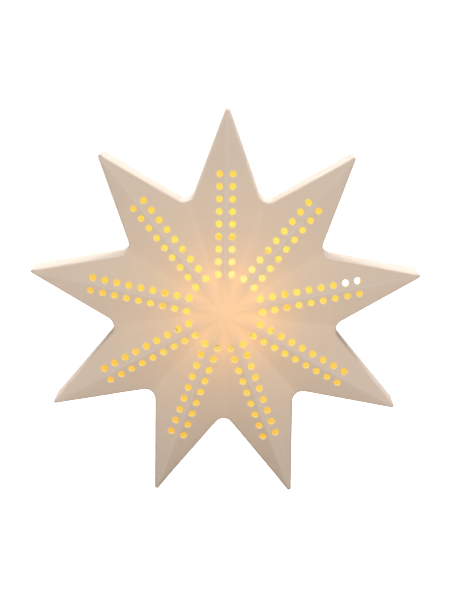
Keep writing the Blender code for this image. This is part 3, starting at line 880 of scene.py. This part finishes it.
def ceramic_material():
    """Matt white ceramic, thin at the middle; the light inside glowing through it is painted on as emission.
    """
    made, tree, shader = new_material("matt_ceramic", Emission_Strength=1.0)
    shader.inputs["Specular IOR Level"].default_value = 0.35
    place = object_place(tree)
    star = group_node(tree, RAY_GROUP, Place=place).outputs
    grain = group_node(
        tree, GRAIN_GROUP, Place=place, Fine_Scale=1400.0, Broad_Scale=45.0, Fine_Share=0.35
    ).outputs
    parts = add_node(tree, "ShaderNodeSeparateXYZ", [("Vector", place)])
    on_front = smooth_range(tree, parts.outputs["Y"], CENTRE_Y - 0.0005, CENTRE_Y - FACET_START)

    # Painted light: the glow spreads out from the middle by the listed strengths.
    reach = PAINTED_GLOW_BY_RADIUS[-1][0]
    stops = [(radius / reach, (glow,) * 3) for radius, glow in PAINTED_GLOW_BY_RADIUS]
    spread = ramp(tree, maths(tree, "DIVIDE", star["Radius"], reach), stops)
    spread = add_node(tree, "ShaderNodeSeparateColor", [("Color", spread)]).outputs["Red"]
    # Painted light and painted shade: a brighter patch right of the middle and a dimmer one left of it.
    right = group_node(tree, PATCH_GROUP, Place=place, Right=0.024, Up=-0.006, Reach=0.045)
    left = group_node(tree, PATCH_GROUP, Place=place, Right=-0.034, Up=-0.006, Reach=0.045)
    side = maths(
        tree,
        "SUBTRACT",
        maths(tree, "MULTIPLY", right.outputs["Patch"], 0.22),
        maths(tree, "MULTIPLY", left.outputs["Patch"], 0.12),
    )
    # Painted shade: the painted glow is weaker along each ridge, away from the middle.
    ridge = smooth_range(tree, star["Across"], 0.0075, 0.0)
    away = smooth_range(tree, star["Radius"], 0.008, 0.030)
    shade = maths(tree, "MULTIPLY", maths(tree, "MULTIPLY", ridge, away), 0.55)
    glow = maths(tree, "ADD", spread, side)
    glow = maths(tree, "MULTIPLY", glow, maths(tree, "SUBTRACT", 1.0, shade))
    # Painted light: a faint glow painted round each hole, stronger where the painted glow is strong.
    painted_hole_glow = smooth_range(tree, star["From Hole"], HOLE_RADIUS + 0.0020, HOLE_RADIUS - 0.0002)
    painted_hole_glow = maths(tree, "MULTIPLY", painted_hole_glow, maths(tree, "ADD", 0.05, maths(tree, "MULTIPLY", glow, 0.35)))
    glow = maths(tree, "MULTIPLY", maths(tree, "ADD", glow, painted_hole_glow), on_front)
    tree.links.new(mixed(tree, glow, (0, 0, 0), PAINTED_GLOW), shader.inputs["Emission Color"])

    # Painted shade: a greyer band along each ridge, fading in towards the middle.
    painted_ridge_shade = smooth_range(tree, star["Across"], 0.0034, 0.0008)
    painted_ridge_shade = maths(tree, "MULTIPLY", painted_ridge_shade, smooth_range(tree, star["Radius"], 0.02, 0.05))
    # Painted light: the base turns yellower where the painted glow is.
    base = mixed(tree, glow, CLAY, CLAY_UNDER_PAINTED_GLOW)
    base = mixed(tree, maths(tree, "MULTIPLY", painted_ridge_shade, on_front), base, CLAY_PAINTED_RIDGE_SHADE)
    mottled = smooth_range(tree, grain["Broad"], 0.3, 0.7, 0.0, 0.10)
    base = mixed(tree, mottled, base, (0.74, 0.68, 0.62))
    tree.links.new(base, shader.inputs["Base Color"])
    tree.links.new(smooth_range(tree, grain["Fine"], 0.3, 0.7, 0.52, 0.66), shader.inputs["Roughness"])
    bump(tree, shader, grain["Height"], 0.00012, 0.5)
    return made


# Painted light: the flame's light on the inner faces, by distance from a point over the flame.
PAINTED_LIGHT_STOPS = (
    (0.0, (1.0, 0.95, 0.40)),
    (0.22, (0.98, 0.83, 0.15)),
    (0.5, (0.975, 0.69, 0.105)),
    (1.0, (0.95, 0.49, 0.06)),
)
# PAINTED_HOLE_WALL_LIGHT: painted light, the yellower hole walls near the front.
PAINTED_HOLE_WALL_LIGHT = (1.0, 0.85, 0.30)
# PAINTED_GAP_SHADOW: painted shadow colour round the edge of the opening.
PAINTED_GAP_SHADOW = (0.95, 0.58, 0.08)
# Painted shade: near-black base colours for the inner faces, so only the painted flame light shows; darker
# farther out.
PAINTED_SHADE_BASE = (0.05, 0.03, 0.015)
PAINTED_SHADE_BASE_FAR = (0.03, 0.02, 0.01)


def painted_light_colour(tree, place):
    """The painted colour of the flame's light on the inner faces, yellow over the flame and orange far away.
    """
    parts = add_node(tree, "ShaderNodeSeparateXYZ", [("Vector", place)])
    right = maths(tree, "SUBTRACT", parts.outputs["X"], 0.010)
    up = maths(tree, "SUBTRACT", parts.outputs["Z"], CENTRE_HEIGHT + 0.022)
    return ramp(tree, maths(tree, "DIVIDE", distance(tree, right, up), 0.15), PAINTED_LIGHT_STOPS)


def painted_light_inside_material():
    """The inner side of the clay and the walls of its holes, with the flame's light painted on as emission.
    """
    made, tree, shader = new_material("painted_light_inside", Roughness=0.9, Emission_Strength=1.0)
    shader.inputs["Specular IOR Level"].default_value = 0.0
    place = object_place(tree)
    star = group_node(tree, RAY_GROUP, Place=place).outputs
    parts = add_node(tree, "ShaderNodeSeparateXYZ", [("Vector", place)])
    colour = painted_light_colour(tree, place)
    # Painted shadow: a more orange ring round the edge of the opening, near the back wall.
    off_ring = maths(tree, "ABSOLUTE", maths(tree, "SUBTRACT", star["Radius"], OPENING_RADIUS + 0.0015))
    painted_gap_shadow_mask = smooth_range(tree, off_ring, 0.005, 0.002)
    at_back = smooth_range(tree, parts.outputs["Y"], CENTRE_Y - SEAM - 0.003, CENTRE_Y - SEAM)
    painted_gap_shadow_mask = maths(tree, "MULTIPLY", maths(tree, "MULTIPLY", painted_gap_shadow_mask, at_back), 0.8)
    colour = mixed(tree, painted_gap_shadow_mask, colour, PAINTED_GAP_SHADOW)
    # Painted light: the hole walls are painted yellower towards the front.
    painted_wall_light = smooth_range(tree, star["From Hole"], HOLE_RADIUS + 0.0006, HOLE_RADIUS + 0.0002)
    near_front = smooth_range(tree, parts.outputs["Y"], CENTRE_Y - SEAM - 0.012, CENTRE_Y - SEAM - 0.020)
    painted_wall_light = maths(tree, "MULTIPLY", maths(tree, "MULTIPLY", painted_wall_light, near_front), 0.55)
    colour = mixed(tree, painted_wall_light, colour, PAINTED_HOLE_WALL_LIGHT)
    tree.links.new(colour, shader.inputs["Emission Color"])
    # Painted shade: a near-black base, darker outwards.
    darker_outwards = smooth_range(tree, star["Radius"], 0.02, 0.12)
    tree.links.new(mixed(tree, darker_outwards, PAINTED_SHADE_BASE, PAINTED_SHADE_BASE_FAR), shader.inputs["Base Color"])
    return made


def painted_light_enamel_material():
    """The enamel on the side of the cover that faces the flame, with the flame's light painted on as
    emission.
    """
    made, tree, shader = new_material("painted_light_enamel", Roughness=0.5, Emission_Strength=1.0)
    shader.inputs["Specular IOR Level"].default_value = 0.0
    place = object_place(tree)
    grain = group_node(
        tree, GRAIN_GROUP, Place=place, Fine_Scale=420.0, Broad_Scale=30.0, Fine_Share=1.0
    ).outputs
    # Painted light: the flame's light painted on the enamel, a little more orange.
    colour = mixed(tree, 0.12, painted_light_colour(tree, place), (0.80, 0.50, 0.05))
    tree.links.new(colour, shader.inputs["Emission Color"])
    tree.links.new(mixed(tree, grain["Broad"], PAINTED_SHADE_BASE, PAINTED_SHADE_BASE_FAR), shader.inputs["Base Color"])
    return made


def metal_material(name, colour, dull, roughness, brushed):
    """Sheet or turned metal with faint brushing, dull patches and a little unevenness."""
    made, tree, shader = new_material(name, Metallic=1.0)
    place = object_place(tree)
    stretch = add_node(tree, "ShaderNodeMapping", [("Vector", place), ("Scale", brushed)])
    grain = group_node(
        tree,
        GRAIN_GROUP,
        Place=stretch.outputs["Vector"],
        Fine_Scale=900.0,
        Broad_Scale=60.0,
        Fine_Share=0.6,
    ).outputs
    patches = smooth_range(tree, grain["Broad"], 0.35, 0.7)
    tree.links.new(mixed(tree, patches, colour, dull), shader.inputs["Base Color"])
    rough = smooth_range(tree, grain["Fine"], 0.3, 0.7, roughness, roughness + 0.16)
    tree.links.new(rough, shader.inputs["Roughness"])
    bump(tree, shader, grain["Height"], 0.00003, 0.5)
    return made


def enamel_material():
    """White enamel on pressed steel, with a light orange-peel surface."""
    made, tree, shader = new_material("white_enamel")
    place = object_place(tree)
    grain = group_node(
        tree, GRAIN_GROUP, Place=place, Fine_Scale=420.0, Broad_Scale=30.0, Fine_Share=1.0
    ).outputs
    worn = smooth_range(tree, grain["Broad"], 0.45, 0.75)
    tree.links.new(mixed(tree, worn, (0.84, 0.82, 0.78), (0.78, 0.75, 0.69)), shader.inputs["Base Color"])
    tree.links.new(smooth_range(tree, grain["Broad"], 0.3, 0.7, 0.32, 0.45), shader.inputs["Roughness"])
    bump(tree, shader, grain["Fine"], 0.00006, 0.4)
    return made


def wax_material():
    """Ivory wax: clear and glossy where it has melted round the wick, satin towards the foil; the flame's
    glow on it is painted on as emission.
    """
    made, tree, shader = new_material("ivory_wax", Subsurface_Weight=0.3, Emission_Strength=1.0)
    shader.inputs["Subsurface Scale"].default_value = 0.004
    shader.inputs["Subsurface Radius"].default_value = (1.0, 0.6, 0.3)
    place = object_place(tree)
    middle = CUP_PLACE.to_translation()
    centred = add_node(tree, "ShaderNodeMapping", [("Vector", place), ("Location", -middle)])
    parts = add_node(tree, "ShaderNodeSeparateXYZ", [("Vector", centred.outputs["Vector"])])
    radius = distance(tree, parts.outputs["X"], parts.outputs["Y"])
    grain = group_node(
        tree, GRAIN_GROUP, Place=place, Fine_Scale=700.0, Broad_Scale=120.0, Fine_Share=0.5
    ).outputs
    pool = smooth_range(tree, radius, 0.0155, 0.0125)
    base = mixed(tree, grain["Broad"], (0.93, 0.90, 0.82), (0.88, 0.84, 0.74))
    tree.links.new(mixed(tree, pool, base, (0.90, 0.80, 0.58)), shader.inputs["Base Color"])
    rough = maths(tree, "SUBTRACT", 0.5, maths(tree, "MULTIPLY", pool, 0.42))
    tree.links.new(rough, shader.inputs["Roughness"])
    # Painted light: the flame's glow on the wax, painted as emission, strongest at the middle.
    painted_flame_glow = smooth_range(tree, radius, 0.016, 0.0)
    tree.links.new(mixed(tree, painted_flame_glow, (0.05, 0.02, 0.0), (0.75, 0.38, 0.07)), shader.inputs["Emission Color"])
    bump(tree, shader, grain["Height"], 0.00005, 0.3)
    return made


def wick_material():
    """Cotton soaked in wax, charred black over the wax and glowing at its tip."""
    made, tree, shader = new_material("charred_wick", Emission_Strength=1.0)
    place = object_place(tree)
    parts = add_node(tree, "ShaderNodeSeparateXYZ", [("Vector", place)])
    height = smooth_range(tree, parts.outputs["Z"], WAX_HIGH.z - 0.001, WAX_HIGH.z + 0.0015)
    grain = group_node(
        tree, GRAIN_GROUP, Place=place, Fine_Scale=2500.0, Broad_Scale=500.0, Fine_Share=0.5
    ).outputs
    cotton = mixed(tree, grain["Fine"], (0.82, 0.78, 0.68), (0.62, 0.56, 0.46))
    charred = mixed(tree, grain["Fine"], (0.03, 0.025, 0.02), (0.09, 0.07, 0.06))
    tree.links.new(mixed(tree, height, cotton, charred), shader.inputs["Base Color"])
    tree.links.new(smooth_range(tree, grain["Broad"], 0.3, 0.7, 0.8, 0.95), shader.inputs["Roughness"])
    ember = smooth_range(tree, parts.outputs["Z"], WICK_HIGH.z - 0.0012, WICK_HIGH.z)
    tree.links.new(mixed(tree, ember, (0, 0, 0), (1.6, 0.35, 0.05)), shader.inputs["Emission Color"])
    bump(tree, shader, grain["Height"], 0.0001, 0.6)
    return made


def flame_material():
    """Blue at the wick, then orange, and nearly white at the heart."""
    made, tree, shader = new_material("candle_flame", Roughness=1.0, Emission_Strength=1.0)
    shader.inputs["Specular IOR Level"].default_value = 0.0
    place = object_place(tree)
    parts = add_node(tree, "ShaderNodeSeparateXYZ", [("Vector", place)])
    base = WICK_HIGH.z - FLAME_SINK
    share = maths(tree, "DIVIDE", maths(tree, "SUBTRACT", parts.outputs["Z"], base), FLAME_HEIGHT)
    stops = [
        (0.0, (0.10, 0.14, 0.55)),
        (0.16, (0.75, 0.42, 0.18)),
        (0.38, (1.0, 0.86, 0.46)),
        (0.72, (1.0, 0.80, 0.34)),
        (1.0, (1.0, 0.50, 0.08)),
    ]
    tree.links.new(ramp(tree, share, stops), shader.inputs["Emission Color"])
    grain = group_node(
        tree, GRAIN_GROUP, Place=place, Fine_Scale=300.0, Broad_Scale=200.0, Fine_Share=0.5
    ).outputs
    dark = mixed(tree, grain["Fine"], (0.02, 0.01, 0.0), (0.04, 0.02, 0.0))
    tree.links.new(dark, shader.inputs["Base Color"])
    return made


CERAMIC = ceramic_material()
PAINTED_LIGHT_INSIDE = painted_light_inside_material()
ENAMEL = enamel_material()
PAINTED_LIGHT_ENAMEL = painted_light_enamel_material()
ZINC = metal_material("zinc_plate", (0.86, 0.86, 0.86), (0.74, 0.74, 0.75), 0.30, (1, 1, 1))
TIN = metal_material("bright_tinplate", (0.76, 0.75, 0.73), (0.62, 0.61, 0.60), 0.20, (1, 1, 0.15))
STEEL = metal_material("spring_steel", (0.72, 0.72, 0.73), (0.58, 0.58, 0.60), 0.28, (1, 0.1, 1))
RIVET = metal_material("rivet_aluminium", (0.78, 0.79, 0.80), (0.66, 0.67, 0.69), 0.30, (1, 1, 1))
FOIL = metal_material("cup_foil", (0.88, 0.89, 0.90), (0.78, 0.79, 0.81), 0.18, (1, 1, 0.08))
WAX = wax_material()
WICK = wick_material()
FIRE = flame_material()

make_front(CERAMIC, PAINTED_LIGHT_INSIDE)
make_back(CERAMIC, PAINTED_LIGHT_INSIDE)
make_cover(ENAMEL, PAINTED_LIGHT_ENAMEL)
make_shelf(ZINC)
make_dish(TIN)
for number in (1, 2):
    make_rivet(f"shelf_rivet_{number}", RIVET)
make_cup(FOIL)
make_wax(WAX)
make_wick(WICK)
make_flame(FIRE)

for node, finish in (
    ("grip_spring_1", STEEL),
    ("grip_spring_2", STEEL),
    ("grip_spring_3", STEEL),
    ("spring_rivet_1", RIVET),
    ("spring_rivet_2", RIVET),
    ("spring_rivet_3", RIVET),
    ("dish_screw", ZINC),
    ("dish_nut", ZINC),
    ("wick_sustainer", TIN),
):
    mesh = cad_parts[node].data
    mesh.materials.clear()
    mesh.materials.append(finish)


# ---- Stage and light ----
def white_for_camera(tree, seen, shared):
    """A shader that is bright where the camera sees it and gives the piece only a little light."""
    path = add_node(tree, "ShaderNodeLightPath")
    made = add_node(tree, "ShaderNodeMixShader", [(0, path.outputs["Is Camera Ray"]), (1, shared), (2, seen)])
    return made.outputs[0]


def make_sweep():
    """A pale floor that curves up into a backdrop."""
    bm = bmesh.new()
    edges = [bm.edges.new([bm.verts.new((-4, -4, 0)), bm.verts.new((4, -4, 0))])]
    steps = [Vector((0, 6.5, 0))]
    for i in range(12):
        turn = math.pi / 2 * (i + 0.5) / 12
        steps.append(Vector((0, math.cos(turn), math.sin(turn))) * 0.13)
    steps.append(Vector((0, 0, 3)))
    for step in steps:
        made = bmesh.ops.extrude_edge_only(bm, edges=edges)
        moved = new_verts(made)
        bmesh.ops.translate(bm, vec=step, verts=moved)
        edges = [edge for edge in new_edges(made) if all(vert in moved for vert in edge.verts)]
    bmesh.ops.recalc_face_normals(bm, faces=bm.faces)
    sweep = link("studio_sweep", mesh_from("studio_sweep", bm, 35))
    paper, tree, shader = new_material("pale_paper", Base_Color=(0.92, 0.92, 0.92, 1), Roughness=0.9)
    shader.inputs["Emission Color"].default_value = (1, 1, 1, 1)
    shader.inputs["Emission Strength"].default_value = 1.0
    shared = add_node(tree, "ShaderNodeBsdfDiffuse", [("Color", (0.42, 0.395, 0.37, 1))])
    out = tree.nodes["Material Output"]
    tree.links.new(white_for_camera(tree, shader.outputs[0], shared.outputs[0]), out.inputs["Surface"])
    sweep.data.materials.append(paper)


def add_softbox(name, offset, width, height, power, colour):
    lamp = bpy.data.lights.new(name, "AREA")
    lamp.shape = "RECTANGLE"
    lamp.size = width
    lamp.size_y = height
    lamp.energy = power
    lamp.color = colour
    obj = link(name, lamp)
    obj.location = STAR_CENTRE + Vector(offset)
    obj.rotation_euler = Vector(offset).to_track_quat("Z", "Y").to_euler()


make_sweep()
add_softbox("front_softbox", (0.06, -2.2, 0.53), 1.2, 1.2, 22.8, (1, 0.848, 0.672))
add_softbox("top_softbox", (0.0, 0.85, 1.3), 4.0, 0.7, 56, (1, 0.935, 0.905))

flame_light = bpy.data.lights.new("flame_light", "POINT")
flame_light.energy = 0.05
flame_light.color = (1.0, 0.72, 0.18)
flame_light.shadow_soft_size = 0.003
flame_lamp = link("flame_light", flame_light)
flame_lamp.location = CUP_PLACE.to_translation() + Vector((FLAME_SHIFT, -0.006, CUP_HEIGHT + 0.012))
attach(flame_lamp, "tealight")

world = bpy.data.worlds.new("studio")
bpy.context.scene.world = world
world.use_nodes = True
tree = world.node_tree
shared = tree.nodes["Background"]
shared.inputs["Color"].default_value = (1, 0.97, 0.94, 1)
shared.inputs["Strength"].default_value = 0.28
seen = add_node(tree, "ShaderNodeBackground", [("Color", (1, 1, 1, 1)), ("Strength", 1.0)])
tree.links.new(
    white_for_camera(tree, seen.outputs[0], shared.outputs[0]), tree.nodes["World Output"].inputs["Surface"]
)
bpy.context.scene.view_settings.view_transform = "Standard"

# ---- Camera ----
CAMERA_OFFSET = Vector((0.0144, -1.5485, 0.2284))
CAMERA_TURN = (81.81, -0.67, 0.63)
camera = bpy.data.cameras.new("camera")
camera.lens = 124.1
camera.sensor_width = 36
camera_object = link("camera", camera)
camera_object.location = STAR_CENTRE + CAMERA_OFFSET
camera_object.rotation_euler = [math.radians(angle) for angle in CAMERA_TURN]
bpy.context.scene.camera = camera_object
